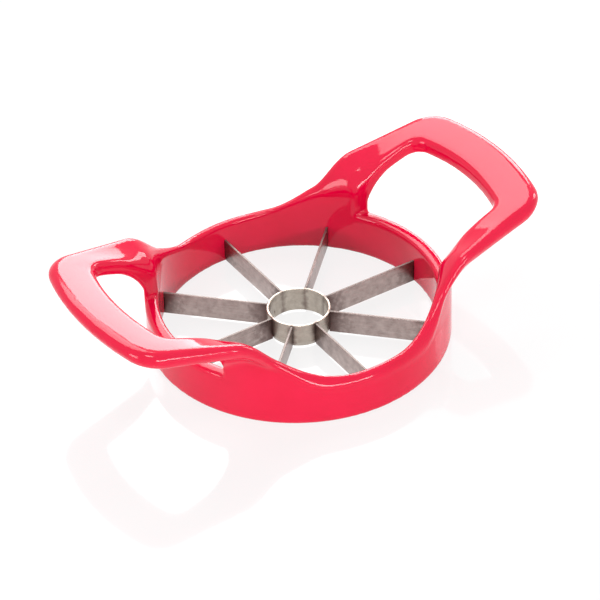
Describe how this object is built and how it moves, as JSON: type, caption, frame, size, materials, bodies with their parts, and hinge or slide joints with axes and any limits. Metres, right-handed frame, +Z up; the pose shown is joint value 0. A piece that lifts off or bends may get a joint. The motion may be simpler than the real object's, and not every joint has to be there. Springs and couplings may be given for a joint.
{
  "type": "apple slicer",
  "caption": "Push-through apple slicer and corer: a round moulded rim with raised loop handles on opposite sides, and thin radial steel blades round a central core ring.",
  "frame": {"origin": "middle of the rim's foot, on the surface that the slicer stands on", "axes": "+Z up, from the foot towards the handles; +X along the line from one handle to the other; +Y across the handles"},
  "size_m": [0.1688, 0.1044, 0.0433],
  "materials": {
    "red_plastic": "glossy moulded plastic",
    "steel": "ground strip, faintly brushed along its length"
  },
  "bodies": {
    "root": {"frame": "red_plastic", "core_ring": "steel", "blade_1": "steel", "blade_2": "steel", "blade_3": "steel", "blade_4": "steel", "blade_5": "steel", "blade_6": "steel", "blade_7": "steel", "blade_8": "steel"}
  },
  "joints": []
}
